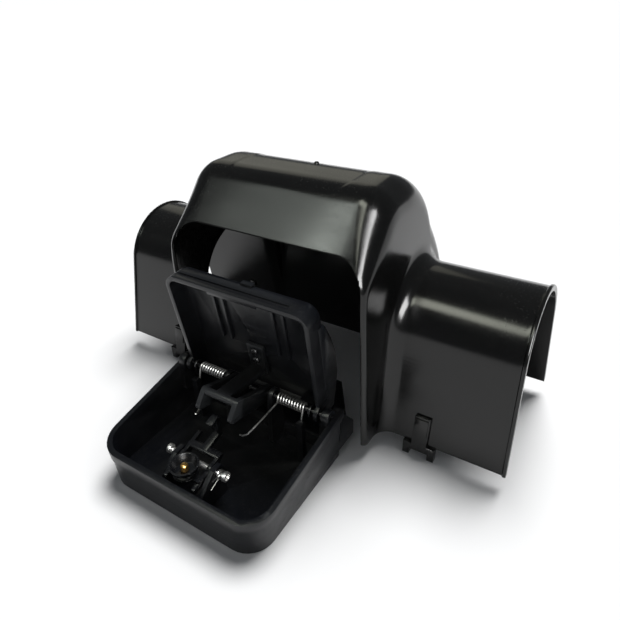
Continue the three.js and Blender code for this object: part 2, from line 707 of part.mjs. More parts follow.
function baitCup() {
  const bottom = CUP_R - 2;
  const cup = turned(
    [
      [0, CUP_FLOOR - CUP_SKIN],
      [bottom, CUP_FLOOR - CUP_SKIN],
      [CUP_R - 0.4, CUP_RIM - 1],
      [CUP_R, CUP_RIM],
      [CUP_R - CUP_WALL, CUP_RIM],
      [bottom - CUP_WALL, CUP_FLOOR],
      [0, CUP_FLOOR],
    ],
    0,
    CUP_Y,
  );
  return cup.subtract(rodZ(SCREW_R + GAP, [10, 30], 0, CUP_Y));
}

// The rivet that holds the cup on its seat.
function cupRivet() {
  const under = SEAT_Z[0] - GAP;
  const profile = [
    [0, under - 1.2],
    [1.9, under - 1.2],
    [1.9, under],
    [SCREW_R, under],
    [SCREW_R, CUP_FLOOR + GAP],
    [2.3, CUP_FLOOR + GAP],
    [2.2, RIVET_TOP - 1],
    [1.3, RIVET_TOP - 0.2],
    [0, RIVET_TOP],
  ];
  return turned(profile, 0, CUP_Y, 16);
}

// The small spring beside the right bracket that brings the trigger back.
class TriggerSpringPath extends THREE.Curve {
  getPoint(t, target = V(0, 0, 0)) {
    const turns = 2.5;
    const leg = 8;
    const radius = 2.5;
    const coil = turns * 2 * Math.PI * radius;
    const s = t * (coil + 2 * leg);
    const turn = THREE.MathUtils.clamp(s - leg, 0, coil) / radius;
    const a = turn - Math.PI / 2;
    const before = Math.max(leg - s, 0);
    const after = Math.max(s - leg - coil, 0);
    const x = 16.2 + (2.4 * turn * radius) / coil;
    const y = radius * Math.cos(a) - before - after * Math.sin(a);
    return target.set(x, TRIGGER_Y + y, TRIGGER_Z + radius * Math.sin(a) + after * Math.cos(a) - before * 0.4);
  }
}

function triggerSpring() {
  const shape = new THREE.Shape();
  for (let i = 0; i < 5; i++) {
    const a = (i / 5) * 2 * Math.PI;
    const [x, y] = [0.4 * Math.cos(a), 0.4 * Math.sin(a)];
    if (i) shape.lineTo(x, y);
    else shape.moveTo(x, y);
  }
  return new THREE.ExtrudeGeometry(shape, { steps: 52, bevelEnabled: false, extrudePath: new TriggerSpringPath() });
}

// ---------------------------------------------------------------- the assembly
function geometryMesh(name, geometry, material) {
  return meshOf(name, solidOf(geometry), material);
}

function coverGroup() {
  const group = new THREE.Group();
  group.position.z = COVER_LIFT;
  group.add(meshOf("tunnel_cover", tunnelCover(), COVER_BLACK));
  const foot = clipFoot();
  for (const [row, turn] of [["front", 0], ["rear", Math.PI]]) {
    for (const [column, side] of [["left", -1], ["right", 1]]) {
      const mesh = meshOf(`clip_foot_${row}_${column}`, foot, COVER_BLACK);
      mesh.position.x = side * FOOT_X;
      mesh.rotation.z = turn;
      group.add(mesh);
    }
  }
  return group;
}

function jawGroup() {
  const group = new THREE.Group();
  group.position.z = HINGE_Z;
  group.rotation.x = -openAngle;
  group.add(meshOf("jaw", jaw(), TRAP_BLACK), meshOf("latch_fork", latchFork(), FORK_GREY));
  FORK_SCREW_Y.forEach((y, i) => group.add(meshOf(`fork_screw_${i + 1}`, forkScrew(y), BLACK_STEEL)));
  return group;
}

function trapGroup() {
  const group = new THREE.Group();
  group.position.y = TRAP_Y;
  group.add(
    meshOf("trap_base", trapBase(), TRAP_BLACK),
    meshOf("hinge_pin", rodX(PIN_R, [-HINGE_PIN_HALF, HINGE_PIN_HALF], 0, HINGE_Z), BLACK_STEEL),
    meshOf("trigger_pin", rodX(PIN_R, [-TRIGGER_PIN_HALF, TRIGGER_PIN_HALF], TRIGGER_Y, TRIGGER_Z), STEEL),
    meshOf("trigger_lever", triggerLever(), TRIGGER_BLACK),
    meshOf("bait_cup", baitCup(), TRIGGER_BLACK),
    meshOf("cup_rivet", cupRivet(), BRASS),
    geometryMesh("trigger_spring", triggerSpring(), STEEL),
    jawGroup(),
  );
  for (const [column, side] of [["left", -1], ["right", 1]]) {
    const clip = washerX(CLIP_R, BORE_R, spanOn(side, CLIP_X), 0, HINGE_Z);
    const cap = washerX(CAP_R, BORE_R, spanOn(side, CAP_X), TRIGGER_Y, TRIGGER_Z);
    group.add(
      meshOf(`hinge_clip_${column}`, clip, BLACK_STEEL),
      meshOf(`trigger_pin_cap_${column}`, cap, STEEL),
      geometryMesh(`jaw_spring_${column}`, torsionSpring(side), STEEL),
    );
  }
  return group;
}

// The origin is under the middle of the whole object's box.
const root = new THREE.Group();
root.add(coverGroup(), trapGroup());
const bounds = new THREE.Box3().setFromObject(root);
root.position.set(-(bounds.min.x + bounds.max.x) / 2, -(bounds.min.y + bounds.max.y) / 2, 0);

export default root;
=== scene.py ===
"""Rat-size snap trap at the front of its tunnel cover: camera, materials, surfaces and light."""
import json
import math

import bmesh
import bpy
import numpy as np
from mathutils import Matrix, Vector


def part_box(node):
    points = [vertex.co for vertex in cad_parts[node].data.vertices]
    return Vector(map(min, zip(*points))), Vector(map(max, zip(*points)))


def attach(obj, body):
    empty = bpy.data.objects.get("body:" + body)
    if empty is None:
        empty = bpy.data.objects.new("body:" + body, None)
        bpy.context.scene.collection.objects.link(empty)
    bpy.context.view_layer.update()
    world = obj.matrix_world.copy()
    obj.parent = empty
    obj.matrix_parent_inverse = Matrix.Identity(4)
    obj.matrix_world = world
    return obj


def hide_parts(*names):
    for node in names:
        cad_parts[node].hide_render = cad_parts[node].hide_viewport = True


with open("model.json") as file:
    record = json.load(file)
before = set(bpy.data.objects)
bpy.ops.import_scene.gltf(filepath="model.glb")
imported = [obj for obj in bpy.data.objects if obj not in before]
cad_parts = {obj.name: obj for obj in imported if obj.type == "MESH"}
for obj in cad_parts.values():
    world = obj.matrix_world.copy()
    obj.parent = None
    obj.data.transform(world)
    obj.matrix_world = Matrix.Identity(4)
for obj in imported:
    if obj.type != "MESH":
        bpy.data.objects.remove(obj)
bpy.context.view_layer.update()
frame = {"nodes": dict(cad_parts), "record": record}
MM = 0.001

# The cover's and the trap's own frames in the row frame, in millimetres.
HINGE_LOW, HINGE_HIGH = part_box("hinge_pin")
HINGE_Y = (HINGE_LOW[1] + HINGE_HIGH[1]) / 2 / MM
HINGE_Z = 38.9
TRAP_Y = -84.1
SHIFT_Y = HINGE_Y - TRAP_Y
COVER_LIFT = 10.0


# ------------------------------------------------------------------ camera
FRAME_WIDTH = 620.0
FOCAL = 534.7  # in the same unit as the frame's width
AZIMUTH, ELEVATION, ROLL = 33.55, 32.13, -2.4
CAMERA_PLACE = (173.5, -276.9, 243.9)  # in the cover's frame
SENSOR = 36.0


def make_camera():
    az, el, ro = (math.radians(v) for v in (AZIMUTH, ELEVATION, ROLL))
    back = Vector((math.sin(az) * math.cos(el), -math.cos(az) * math.cos(el), math.sin(el)))
    right = (-back).cross(Vector((0, 0, 1))).normalized()
    up = right.cross(-back)
    turned_right = math.cos(ro) * right + math.sin(ro) * up
    turned_up = -math.sin(ro) * right + math.cos(ro) * up
    data = bpy.data.cameras.new("camera")
    data.sensor_width = SENSOR
    data.lens = FOCAL / FRAME_WIDTH * SENSOR
    data.clip_start = 0.01
    camera = bpy.data.objects.new("camera", data)
    bpy.context.scene.collection.objects.link(camera)
    rotation = Matrix((turned_right, turned_up, back)).transposed().to_4x4()
    x, y, z = CAMERA_PLACE
    place = Vector((x, y + SHIFT_Y, z + COVER_LIFT)) * MM
    camera.matrix_world = Matrix.Translation(place) @ rotation
    bpy.context.scene.camera = camera


make_camera()


# ------------------------------------------------------------------ materials
class Nodes:
    """A short way to write a node tree."""

    def __init__(self, name):
        self.material = bpy.data.materials.new(name)
        self.material.use_nodes = True
        self.tree = self.material.node_tree
        self.shader = self.tree.nodes["Principled BSDF"]
        coordinates = self.tree.nodes.new("ShaderNodeTexCoord")
        self.place = coordinates.outputs["Object"]

    def add(self, kind, inputs=None, **settings):
        node = self.tree.nodes.new(kind)
        for key, value in settings.items():
            setattr(node, key, value)
        for key, value in (inputs or {}).items():
            if isinstance(value, bpy.types.NodeSocket):
                self.tree.links.new(value, node.inputs[key])
            else:
                node.inputs[key].default_value = value
        return node

    def noise(self, scale, detail=3.0, stretch=(1, 1, 1)):
        mapping = self.add("ShaderNodeMapping", {"Vector": self.place, "Scale": stretch})
        return self.add(
            "ShaderNodeTexNoise", {"Vector": mapping.outputs["Vector"], "Scale": scale, "Detail": detail}
        ).outputs["Fac"]

    def span(self, value, low, high, start=0.3, end=0.7):
        """value from start..end spread to low..high."""
        node = self.add(
            "ShaderNodeMapRange",
            {"Value": value, "From Min": start, "From Max": end, "To Min": low, "To Max": high},
        )
        return node.outputs["Result"]

    def mix(self, fac, a, b):
        """A blend of two colours; inputs 6 and 7 and output 2 are the node's colour sockets."""
        node = self.add("ShaderNodeMix", {"Factor": fac}, data_type="RGBA")
        for socket, value in ((node.inputs[6], a), (node.inputs[7], b)):
            if isinstance(value, bpy.types.NodeSocket):
                self.tree.links.new(value, socket)
            else:
                socket.default_value = (*value, 1.0)
        return node.outputs[2]

    def maths(self, operation, a, b=0.5):
        return self.add("ShaderNodeMath", {0: a, 1: b}, operation=operation).outputs[0]

    def link(self, socket, name):
        self.tree.links.new(socket, self.shader.inputs[name])

    def bump(self, heights):
        """Adds bumps one on another: (height socket, strength, distance in metres)."""
        normal = None
        for height, strength, distance in heights:
            inputs = {"Height": height, "Strength": strength, "Distance": distance}
            if normal is not None:
                inputs["Normal"] = normal
            normal = self.add("ShaderNodeBump", inputs).outputs["Normal"]
        self.link(normal, "Normal")


DUST_COLOUR = (0.30, 0.29, 0.27)
PLASTIC_IOR = 1.49
TIP_FROM, TIP_TO = 0.0255, 0.0272  # metres from the jaw's hinge over which the fork turns from its dark, shaded tone to the lighter colour painted at its far end as painted light


def hair_scratches(n):
    """Fine scratches that run two ways: 1 on a scratch, 0 beside it."""
    long_ways = n.noise(120.0, 2.0, (0.05, 1.2, 5.0))
    cross_ways = n.noise(150.0, 2.0, (4.0, 0.06, 1.0))
    return n.maths(
        "MAXIMUM", n.span(long_ways, 0.0, 1.0, 0.66, 0.72), n.span(cross_ways, 0.0, 1.0, 0.67, 0.73)
    )


def settled_dust(n, facing, cloud):
    """Specks on the faces that look up, denser where cloud is high."""
    split = n.add("ShaderNodeSeparateXYZ", {"Vector": facing.outputs["Normal"]})
    upward = n.span(split.outputs["Z"], 0.0, 1.0, 0.2, 1.0)
    specks = n.span(n.noise(900.0, 2.0), 0.0, 1.0, 0.58, 0.72)
    return n.maths("MULTIPLY", n.maths("MULTIPLY", upward, specks), n.span(cloud, 0.1, 1.0))


def painted_light_end_mask(n):
    """Mask of the fork's painted light and shade: 0 up to TIP_FROM from the axis of the jaw's hinge, and
    1 beyond TIP_TO.
    """
    spot = n.add("ShaderNodeSeparateXYZ", {"Vector": n.place})
    along = n.maths("SUBTRACT", spot.outputs["Y"], HINGE_Y * MM)
    above = n.maths("SUBTRACT", spot.outputs["Z"], HINGE_Z * MM)
    squares = n.maths("ADD", n.maths("MULTIPLY", along, along), n.maths("MULTIPLY", above, above))
    return n.span(n.maths("SQRT", squares), 0.0, 1.0, TIP_FROM, TIP_TO)


def moulded_plastic(name, base, worn, rough, scratch, grain, dust, shine=0.5, painted_light_end_colour=None):
    """Black moulded plastic: flow clouding, fine grain, hair scratches, and dust on upward faces.

    rough is the roughness from low to high, grain the grain's height in metres, and the last argument the
    lighter colour painted as light on what lies furthest from the jaw's hinge, against the painted shade
    nearer the hinge."""
    n = Nodes(name)
    cloud = n.noise(14.0, 4.0)
    flow = n.noise(55.0, 3.0, (0.35, 1.0, 1.6))
    fine = n.noise(2600.0, 2.0)
    hair = hair_scratches(n)
    facing = n.add("ShaderNodeNewGeometry")
    settled = settled_dust(n, facing, cloud)
    edge = n.span(facing.outputs["Pointiness"], 0.0, 1.0, 0.53, 0.60)
    colour = n.mix(n.span(cloud, 0.0, 1.0), base, tuple(c * 1.35 for c in base))
    # painted light and shade: one plastic, dark near the jaw's hinge and painted lighter beyond TIP_FROM
    if painted_light_end_colour:
        colour = n.mix(painted_light_end_mask(n), colour, painted_light_end_colour)
    colour = n.mix(n.maths("MULTIPLY", hair, scratch), colour, worn)
    colour = n.mix(n.maths("MULTIPLY", edge, 0.4), colour, worn)
    colour = n.mix(n.maths("MULTIPLY", settled, dust), colour, DUST_COLOUR)
    n.link(colour, "Base Color")
    roughness = n.span(flow, *rough)
    roughness = n.maths("ADD", roughness, n.maths("MULTIPLY", hair, 0.18 * scratch))
    roughness = n.maths("ADD", roughness, n.maths("MULTIPLY", settled, 0.25))
    n.link(roughness, "Roughness")
    n.shader.inputs["IOR"].default_value = PLASTIC_IOR
    n.shader.inputs["Specular IOR Level"].default_value = shine
    n.bump([(cloud, 0.25, 0.0002), (fine, 0.35, grain), (hair, -0.2, 0.00002)])
    return n.material


def bright_metal(name, base, stain, rough):
    """Drawn or turned metal: fine lines round the piece, a little tarnish in patches."""
    n = Nodes(name)
    lines = n.noise(1400.0, 2.0, (6.0, 0.4, 0.4))
    patch = n.noise(190.0, 4.0)
    pits = n.noise(1500.0, 2.0)
    tarnish = n.span(patch, 0.0, 1.0, 0.48, 0.75)
    colour = n.mix(n.maths("MULTIPLY", tarnish, 0.7), base, stain)
    n.link(colour, "Base Color")
    n.shader.inputs["Metallic"].default_value = 1.0
    roughness = n.maths("ADD", n.span(lines, rough, rough + 0.14), n.maths("MULTIPLY", tarnish, 0.16))
    n.link(roughness, "Roughness")
    n.bump([(lines, 0.15, 0.00001), (pits, 0.1, 0.00001)])
    return n.material


MATERIALS = {
    "cover_plastic": moulded_plastic(
        "cover_plastic", (0.0040, 0.0040, 0.0038), (0.016, 0.016, 0.015),
        rough=(0.13, 0.21), scratch=0.2, grain=0.00001, dust=0.05, shine=0.42,
    ),
    "trap_plastic": moulded_plastic(
        "trap_plastic", (0.0035, 0.0040, 0.0056), (0.018, 0.020, 0.024),
        rough=(0.28, 0.40), scratch=0.4, grain=0.00002, dust=0.06, shine=0.38,
    ),
    "trigger_plastic": moulded_plastic(
        "trigger_plastic", (0.0045, 0.005, 0.0062), (0.022, 0.023, 0.026),
        rough=(0.22, 0.33), scratch=0.4, grain=0.00002, dust=0.06,
    ),
    # the fork is painted lighter at its far end, a painted light on one plastic
    "fork_plastic": moulded_plastic(
        "fork_plastic", (0.004, 0.005, 0.006), (0.03, 0.032, 0.036),
        rough=(0.30, 0.42), scratch=0.3, grain=0.00002, dust=0.03, shine=0.35, painted_light_end_colour=(0.040, 0.043, 0.046),
    ),
    "spring_steel": bright_metal("spring_steel", (0.42, 0.42, 0.41), (0.20, 0.19, 0.17), 0.22),
    "pin_steel": bright_metal("pin_steel", (0.88, 0.88, 0.87), (0.62, 0.60, 0.55), 0.26),
    "black_steel": moulded_plastic(
        "black_steel", (0.010, 0.010, 0.011), (0.06, 0.06, 0.06),
        rough=(0.20, 0.32), scratch=0.6, grain=0.00001, dust=0.05,
    ),
    "brass": bright_metal("brass", (0.66, 0.40, 0.13), (0.30, 0.16, 0.06), 0.24),
}


def paint(obj, slot):
    obj.data.materials.clear()
    obj.data.materials.append(MATERIALS[slot])


def paint_frame():
    """Gives every CAD node the finish that the record states for it."""
    for part in frame["record"]["subparts"]:
        paint(frame["nodes"][part["node"]], part["material_slot"])


paint_frame()


# ------------------------------------------------------------------ tunnel cover
# In the cover's own frame: x along the tunnels, y to the back, z = 0 at the lower edge.
TUNNEL_HALF, MOUTH_LEAN, RIM_RISE = 150.0, 0.048, 1.1
HOOD_HALF, HOOD_DRAFT, HOOD_EDGE, FILLET, WALL = 71.8, 0.00036, 18.0, 10.0, 2.6
FRONT_EDGE = 3.2  # rounding of the hood's front edges low down, which grows to HOOD_EDGE
FRONT_EDGE_FROM, FRONT_EDGE_SPAN = 88, 58  # the height where it starts to grow, and over how much
LEAST_R = 6
DRAFT_END, DRAFT_SPAN = 105, 30  # the hood's draft fades out to x = DRAFT_END, over this length
LEAN_START, LEAN_SPAN = 110, 32  # the mouth's lean sets in from x = LEAN_START, over this length
BELOW = -40  # the outlines run on to this depth under the lower edge
# Circles (y, z, radius) whose hull is the hood's side outline.
HOOD_CIRCLES = [
    (-50.9, BELOW, 18),
    (-50.9, 103, 18),
    (-29, 131, 18),
    (-16, 109, 40),
    (27, 64.5, 25),
    (27, BELOW, 25),
]
TUNNEL_CIRCLE = (0, 55.3, 38)
TUNNEL_FOOT = (57.2, BELOW)
OPENING_HALF, OPENING_TOP, OPENING_R = 68.9, 119.5, 18.0
OPENING_Y, OPENING_BOTTOM = (-95.0, -23.9), -30.0
DRAFTED_AT = 100  # the height whose draft sets the opening's width
RECESS_HALF, RECESS_Y, RECESS_R, RECESS_DEPTH = 40.0, (-40.0, 14.0), 10.0, 0.3
RECESS_SLOPE, RECESS_ABOVE = 1.3, 100  # width of the panel's sloping side; only the top is sunk
SKIRT_HALF, SKIRT_DROP = 62.0, 9.5
NUB_PLACE, NUB_R, NUB_RISE = (5.0, -9.0, 148.4), 1.6, 1.0
TURNED_SIDES = 24
# How far each row near a mouth stands back from it, and the share of RIM_RISE there.
RIM_STEPS = (0.0, 0.35, 0.8, 1.3, 1.8, 2.1, 2.35, 2.8, 4.5)
RIM_SHARES = (0.62, 0.9, 1.0, 1.0, 0.9, 0.5, 0.1, 0, 0)
# Rows over the top of the hood, closer together where the sunk panel's side lies.
TOP_ROWS = (
    51.5, 49, 46, 43, 42, 41.2, 40.5, 39.9, 39.3, 38.5, 37.5, 36, 34.5, 33, 31.5, 30, 26, 20, 13, 6.5, 0
)


def in_cover(x, y, z):
    """A point of the cover's frame in the row frame, in metres."""
    return (x * MM, (y + SHIFT_Y) * MM, (z + COVER_LIFT) * MM)


def convex_outline(points):
    """Convex hull of (y, z) points, anticlockwise."""
    ordered = sorted(set(points))
    chains = []
    for sequence in (ordered, ordered[::-1]):
        chain = []
        for p in sequence:
            while len(chain) > 1:
                (ax, ay), (bx, by) = chain[-2], chain[-1]
                if (bx - ax) * (p[1] - ay) - (by - ay) * (p[0] - ax) > 0:
                    break
                chain.pop()
            chain.append(p)
        chains.append(chain[:-1])
    return chains[0] + chains[1]


def reach(points, angles):
    """Distance from the middle of the base to the hull of points, in each direction."""
    ring = np.array(convex_outline(points))
    following = np.roll(ring, -1, axis=0)
    steps = np.linspace(0, 1, 40, endpoint=False)[None, :, None]
    dense = (ring[:, None, :] * (1 - steps) + following[:, None, :] * steps).reshape(-1, 2)
    turn = np.arctan2(dense[:, 1], dense[:, 0])
    order = np.argsort(turn)
    return np.interp(angles, turn[order], np.hypot(dense[:, 0], dense[:, 1])[order])


def circle_points(y, z, r, count=180):
    turns = np.linspace(0, 2 * math.pi, count, endpoint=False)
    return [(y + r * math.cos(a), z + r * math.sin(a)) for a in turns]


def roundings(near, far, angles):
    """The fillet's and the edge's radius in each direction, and the angle that both turn through.

    Together they take up at most 0.96 of the step from the tunnel to the hood."""
    step = far - near
    rise = np.clip((far * np.sin(angles) - FRONT_EDGE_FROM) / FRONT_EDGE_SPAN, 0, 1)
    front = angles > math.pi / 2
    grown = FRONT_EDGE + (HOOD_EDGE - FRONT_EDGE) * rise * rise * (3 - 2 * rise)
    wanted = np.where(front, grown, HOOD_EDGE)
    share = np.minimum(1.0, 0.9 * step / (FILLET + wanted))
    fillet = np.maximum(FILLET * share, LEAST_R)
    edge = np.where(front, wanted, np.maximum(wanted * share, LEAST_R))
    turn = np.arccos(1 - np.minimum(0.96 * step / (fillet + edge), 1))
    return fillet, edge, turn


def cover_profile(near, far, angles):
    """Rows (x, distance out) from a mouth to the middle, from the tunnel (near) up to the hood (far)."""
    fillet, edge, turn = roundings(near, far, angles)
    low, high = near + fillet * (1 - np.cos(turn)), far - edge * (1 - np.cos(turn))
    gap = (high - low) / np.tan(np.minimum(turn, 1.5)) * (turn < 1.5) / 2
    rows = [(x + 0 * near, near) for x in np.linspace(LEAN_START + LEAN_SPAN, HOOD_HALF + FILLET + 2, 11)]
    for u in np.linspace(0, 1, 14):
        x = HOOD_HALF + gap + fillet * (np.sin(turn) - np.sin(u * turn))
        rows.append((x, near + fillet * (1 - np.cos(u * turn))))
    for t in np.linspace(0, 1, 8)[1:-1]:
        rows.append((HOOD_HALF + gap * (1 - 2 * t), low + (high - low) * t))
    for u in np.linspace(1, 0, 14):
        x = HOOD_HALF - gap - edge * (np.sin(turn) - np.sin(u * turn))
        rows.append((x, far - edge * (1 - np.cos(u * turn))))
    rows += [(x + 0 * near, far) for x in TOP_ROWS]
    return rows


def recess_depth(x, y):
    """The shallow panel sunk into the top."""
    middle, half = (RECESS_Y[0] + RECESS_Y[1]) / 2, (RECESS_Y[1] - RECESS_Y[0]) / 2
    dx = np.abs(x) - (RECESS_HALF - RECESS_R)
    dy = np.abs(y - middle) - (half - RECESS_R)
    out = np.hypot(np.maximum(dx, 0), np.maximum(dy, 0)) + np.minimum(np.maximum(dx, dy), 0) - RECESS_R
    t = np.clip(0.5 - out / RECESS_SLOPE, 0, 1)
    return RECESS_DEPTH * t * t * (3 - 2 * t)


def grid_normals(grid):
    along = np.gradient(grid, axis=0)
    across = np.gradient(grid, axis=1)
    normal = np.cross(along, across)
    return normal / np.maximum(np.linalg.norm(normal, axis=2, keepdims=True), 1e-9)


def section_angles():
    """Directions from the rear edge over the top to the front edge, closer together over the top."""
    return np.concatenate(
        [
            np.linspace(0, 0.9, 50, endpoint=False),
            np.linspace(0.9, 2.35, 170, endpoint=False),
            np.linspace(2.35, math.pi, 50),
        ]
    )


def right_half(angles):
    """Points of the plain outer surface from the right mouth to the middle, drafted and leaning."""
    hood = [p for circle in HOOD_CIRCLES for p in circle_points(*circle)]
    tunnel = circle_points(*TUNNEL_CIRCLE) + [(s * TUNNEL_FOOT[0], TUNNEL_FOOT[1]) for s in (-1, 1)]
    far, near = reach(hood, angles), reach(tunnel, angles)
    rows = [(TUNNEL_HALF - d + 0 * near, near) for d in RIM_STEPS] + cover_profile(near, far, angles)
    right = np.array([np.stack([x, r * np.cos(angles), r * np.sin(angles)], axis=1) for x, r in rows])
    lift = right[:, :, 2]
    fade = np.clip((DRAFT_END - right[:, :, 0]) / DRAFT_SPAN, 0, 1)
    right[:, :, 0] -= right[:, :, 0] * HOOD_DRAFT * lift * fade
    lean = np.clip((right[:, :, 0] - LEAN_START) / LEAN_SPAN, 0, 1)
    right[:, :, 0] -= MOUTH_LEAN * lift * lean
    return right


def rim_rise(count):
    """How far each of the rows stands out as a mouth's raised rim."""
    rise = np.zeros(count)
    profile = RIM_RISE * np.array(RIM_SHARES)
    rise[: len(profile)] = profile
    rise[-len(profile):] = profile[::-1]
    return rise


def cover_grid():
    """The cover's outer and inner points, from mouth to mouth and from rear edge to front edge."""
    right = right_half(section_angles())
    left = right[::-1][1:].copy()
    left[:, :, 0] *= -1
    grid = np.concatenate([right, left])
    normal = grid_normals(grid)
    inner = grid - WALL * normal
    for mouth in (0, -1):
        inner[mouth, :, 0] = grid[mouth, :, 0]
    outer = grid + normal * rim_rise(len(grid))[:, None, None]
    rear, front = 0, -1
    outer[:, front, 2] = inner[:, front, 2] = 0
    skirt = np.where(np.abs(grid[:, rear, 0]) < SKIRT_HALF, -SKIRT_DROP, 0.0)
    outer[:, rear, 2] = inner[:, rear, 2] = skirt
    sunk = recess_depth(grid[:, :, 0], grid[:, :, 1])[:, :, None]
    outer -= normal * sunk * (grid[:, :, 2:3] > RECESS_ABOVE)
    return outer, inner


def closed_mesh(form, name):
    """Turns the faces outwards and makes the bmesh a mesh."""
    bmesh.ops.recalc_face_normals(form, faces=form.faces)
    mesh = bpy.data.meshes.new(name)
    form.to_mesh(mesh)
    form.free()
    return mesh


def shell_mesh(name, outer, inner):
    """A closed shell between two grids of points, with its open edges joined."""
    rows, columns = outer.shape[:2]
    points = np.concatenate([outer.reshape(-1, 3), inner.reshape(-1, 3)])
    points = (points + [0, SHIFT_Y, COVER_LIFT]) * MM
    second = rows * columns

    def at(i, j, side):
        return side * second + i * columns + j

    faces = []
    for i in range(rows - 1):
        for j in range(columns - 1):
            faces.append((at(i, j, 0), at(i, j + 1, 0), at(i + 1, j + 1, 0), at(i + 1, j, 0)))
            faces.append((at(i, j, 1), at(i + 1, j, 1), at(i + 1, j + 1, 1), at(i, j + 1, 1)))
    for i in range(rows - 1):
        for j in (0, columns - 1):
            quad = (at(i, j, 0), at(i + 1, j, 0), at(i + 1, j, 1), at(i, j, 1))
            faces.append(quad if j == 0 else quad[::-1])
    for j in range(columns - 1):
        for i in (0, rows - 1):
            quad = (at(i, j, 0), at(i, j, 1), at(i, j + 1, 1), at(i, j + 1, 0))
            faces.append(quad if i == 0 else quad[::-1])
    mesh = bpy.data.meshes.new(name)
    mesh.from_pydata(points.tolist(), [], faces)
    form = bmesh.new()
    form.from_mesh(mesh)
    bmesh.ops.recalc_face_normals(form, faces=form.faces)
    form.to_mesh(mesh)
    form.free()
    return mesh


def prism(outline, span, place):
    """A closed prism: outline (a, b) points swept over span and put in place by place(a, b, t)."""
    form = bmesh.new()
    rings = [[form.verts.new(place(a, b, t)) for a, b in outline] for t in span]
    form.faces.new(rings[0])
    form.faces.new(rings[1][::-1])
    for k in range(len(outline)):
        following = (k + 1) % len(outline)
        form.faces.new((rings[0][following], rings[0][k], rings[1][k], rings[1][following]))
    return closed_mesh(form, "prism")


def opening_outline():
    """The front opening in x and z: round upper corners, as wide as the room between the side walls."""
    outline = [(-OPENING_HALF, OPENING_BOTTOM), (OPENING_HALF, OPENING_BOTTOM)]
    drafted = OPENING_HALF * (1 - HOOD_DRAFT * DRAFTED_AT)
    for a in np.linspace(0, math.pi / 2, 14):
        x = drafted - OPENING_R * (1 - math.cos(a))
        outline.append((x, OPENING_TOP - OPENING_R * (1 - math.sin(a))))
    return outline + [(-x, z) for x, z in outline[:1:-1]]


def turned(profile, place):
    """A closed turned piece about Z: (radius, height) pairs from the axis out and back to it."""
    form = bmesh.new()
    rings = []
    for r, z in profile:
        turns = np.linspace(0, 2 * math.pi, 1 if r == 0 else TURNED_SIDES, endpoint=False)
        points = [Vector((r * math.cos(a), r * math.sin(a), z)) + place for a in turns]
        rings.append([form.verts.new(p * MM) for p in points])
    for low, high in zip(rings, rings[1:]):
        for k in range(TURNED_SIDES):
            a, b = low[k % len(low)], low[(k + 1) % len(low)]
            c, d = high[(k + 1) % len(high)], high[k % len(high)]
            form.faces.new(list(dict.fromkeys((a, b, c, d))))
    return closed_mesh(form, "turned")


def add_object(name, mesh):
    obj = bpy.data.objects.new(name, mesh)
    bpy.context.scene.collection.objects.link(obj)
    return obj


def bake(obj):
    """Applies the modifiers."""
    graph = bpy.context.evaluated_depsgraph_get()
    mesh = bpy.data.meshes.new_from_object(obj.evaluated_get(graph))
    obj.modifiers.clear()
    obj.data = mesh
    return obj


def apply_boolean(obj, mesh, operation="DIFFERENCE"):
    tool = add_object("tool", mesh)
    boolean = obj.modifiers.new("shape", "BOOLEAN")
    boolean.object = tool
    boolean.operation = operation
    boolean.solver = "EXACT"
    bake(obj)
    bpy.data.objects.remove(tool)


def round_edges(obj, width, angle):
    """Rounds the edges that turn by more than angle; width is in millimetres."""
    bevel = obj.modifiers.new("edges", "BEVEL")
    bevel.width = width * MM
    bevel.segments = 2
    bevel.limit_method = "ANGLE"
    bevel.angle_limit = math.radians(angle)
    bevel.use_clamp_overlap = True
    bake(obj)


def smooth(obj, angle):
    mesh = obj.data
    mesh.polygons.foreach_set("use_smooth", [True] * len(mesh.polygons))
    mesh.set_sharp_from_angle(angle=math.radians(angle))
    mesh.update()


def nub():
    """The moulding nub on the top, with a domed end and a foot that reaches into the wall."""
    dome = [(NUB_R * math.sin(a), NUB_RISE * math.cos(a)) for a in np.linspace(math.pi / 2, 0, 6)]
    dome[-1] = (0, NUB_RISE)
    foot = [(0, -1.5), (NUB_R, -1.5)]
    return turned(foot + dome, Vector(NUB_PLACE) + Vector((0, SHIFT_Y, COVER_LIFT)))


def make_cover():
    obj = add_object("cover_shell", shell_mesh("cover_shell", *cover_grid()))
    apply_boolean(obj, prism(opening_outline(), OPENING_Y, lambda x, z, y: in_cover(x, y, z)))
    apply_boolean(obj, nub(), "UNION")
    round_edges(obj, 0.45, 48)
    smooth(obj, 40)
    paint(obj, "cover_plastic")
    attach(obj, "cover")
    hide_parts("tunnel_cover")


make_cover()


# ------------------------------------------------------------------ softened pieces
OPEN_ANGLE = math.radians(82.3)  # how far the set jaw stands up from level


def in_row(x, y, z):
    """A point of the trap's frame (hinge at y = 0, ground at z = 0) in the row frame, in metres."""
    return Vector((x, y + HINGE_Y, z)) * MM


def from_jaw(x, y, z):
    """A point of the set jaw's own frame in the row frame."""
    c, s = math.cos(OPEN_ANGLE), math.sin(OPEN_ANGLE)
    return in_row(x, y * c + z * s, HINGE_Z - y * s + z * c)


def capsule(x0, x1, middle, radius, steps=8):
    """Outline of a slot with round ends."""
    turns = np.linspace(0, math.pi, steps)
    right = [(x1 - radius + radius * math.sin(a), middle - radius * math.cos(a)) for a in turns]
    left = [(x0 + radius - radius * math.sin(a), middle + radius * math.cos(a)) for a in turns]
    return right + left


MERGE_WITHIN, FLAT_WITHIN = 0.000004, math.radians(0.6)


